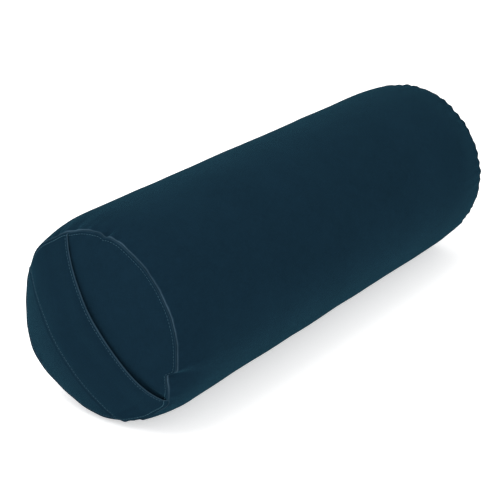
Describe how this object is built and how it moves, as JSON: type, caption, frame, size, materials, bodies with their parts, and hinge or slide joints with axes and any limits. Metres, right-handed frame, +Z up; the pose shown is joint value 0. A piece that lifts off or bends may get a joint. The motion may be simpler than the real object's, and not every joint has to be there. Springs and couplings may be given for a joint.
{
  "type": "yoga bolster",
  "caption": "Firm round yoga bolster: husk-filled inner case in a zipped cotton cover, with a wide carry strap sewn across one round end.",
  "frame": {"origin": "centre of the flat underside that the bolster rests on", "axes": "+X along the bolster, away from the carry strap; +Z up; the zip of the cover is on the +Y side"},
  "size_m": [0.7096, 0.23, 0.225],
  "materials": {
    "cover_fabric": "smooth, tightly woven cotton, dark petrol blue, faint sheen",
    "strap_fabric": "folded band of the same dark petrol cotton",
    "cover_thread": "tone-on-tone sewing thread, slightly lighter than the fabric",
    "cover_zip_tape": "woven herringbone zip tape, dark petrol",
    "cover_zip_teeth": "moulded dark petrol teeth",
    "zip_metal": "dark lacquered zinc, worn at the edges",
    "case_fabric": "unbleached cotton twill",
    "case_thread": "natural cotton sewing thread",
    "case_zip_tape": "off-white woven zip tape",
    "case_zip_teeth": "off-white moulded teeth",
    "case_zip_metal": "nickel-plated zinc",
    "husks": "loose dry spelt husks"
  },
  "bodies": {
    "cover": {"cover_side_panel": "cover_fabric", "cover_strap_end_panel": "cover_fabric", "cover_plain_end_panel": "cover_fabric", "cover_strap_end_thread": "cover_thread", "cover_plain_end_thread": "cover_thread", "cover_zip_threads": "cover_thread", "cover_zip_tape_upper": "cover_zip_tape", "cover_zip_tape_lower": "cover_zip_tape", "cover_zip_teeth_upper": "cover_zip_teeth", "cover_zip_teeth_lower": "cover_zip_teeth", "cover_zip_top_stops": "zip_metal", "cover_zip_bottom_stop": "zip_metal", "inner_case_side_panel": "case_fabric", "inner_case_strap_end_panel": "case_fabric", "inner_case_plain_end_panel": "case_fabric", "inner_case_end_threads": "case_thread", "inner_case_zip_tape_upper": "case_zip_tape", "inner_case_zip_tape_lower": "case_zip_tape", "inner_case_zip_teeth_upper": "case_zip_teeth", "inner_case_zip_teeth_lower": "case_zip_teeth", "inner_case_zip_top_stops": "case_zip_metal", "inner_case_zip_bottom_stop": "case_zip_metal", "husk_filling": "husks"},
    "cover_zip_slider": {"cover_zip_slider": "zip_metal"},
    "cover_zip_pull": {"cover_zip_pull": "zip_metal"},
    "inner_case_zip_slider": {"inner_case_zip_slider": "case_zip_metal"},
    "inner_case_zip_pull": {"inner_case_zip_pull": "case_zip_metal"},
    "carry_strap": {"carry_strap": "strap_fabric", "carry_strap_threads": "cover_thread"}
  },
  "joints": [
    {"name": "cover_zip_travel", "type": "slide", "parent": "cover", "child": "cover_zip_slider", "axis": [1, 0, 0], "range_m": [0, 0.477]},
    {"name": "cover_pull_swing", "type": "hinge", "parent": "cover_zip_slider", "child": "cover_zip_pull", "pos_m": [-0.2385, 0.10938, 0.06581], "axis": [0, 0.3746, 0.9272], "range_deg": [0, 170]},
    {"name": "inner_case_zip_travel", "type": "slide", "parent": "cover", "child": "inner_case_zip_slider", "axis": [1, 0, 0], "range_m": [0, 0.477]},
    {"name": "inner_case_pull_swing", "type": "hinge", "parent": "inner_case_zip_slider", "child": "inner_case_zip_pull", "pos_m": [-0.2385, -0.09504, 0.16487], "axis": [0, -0.5, -0.866], "range_deg": [0, 8]},
    {"name": "carry_strap_lift", "type": "slide", "parent": "cover", "child": "carry_strap", "axis": [-1, 0, 0], "range_m": [0, 0.015]}
  ]
}
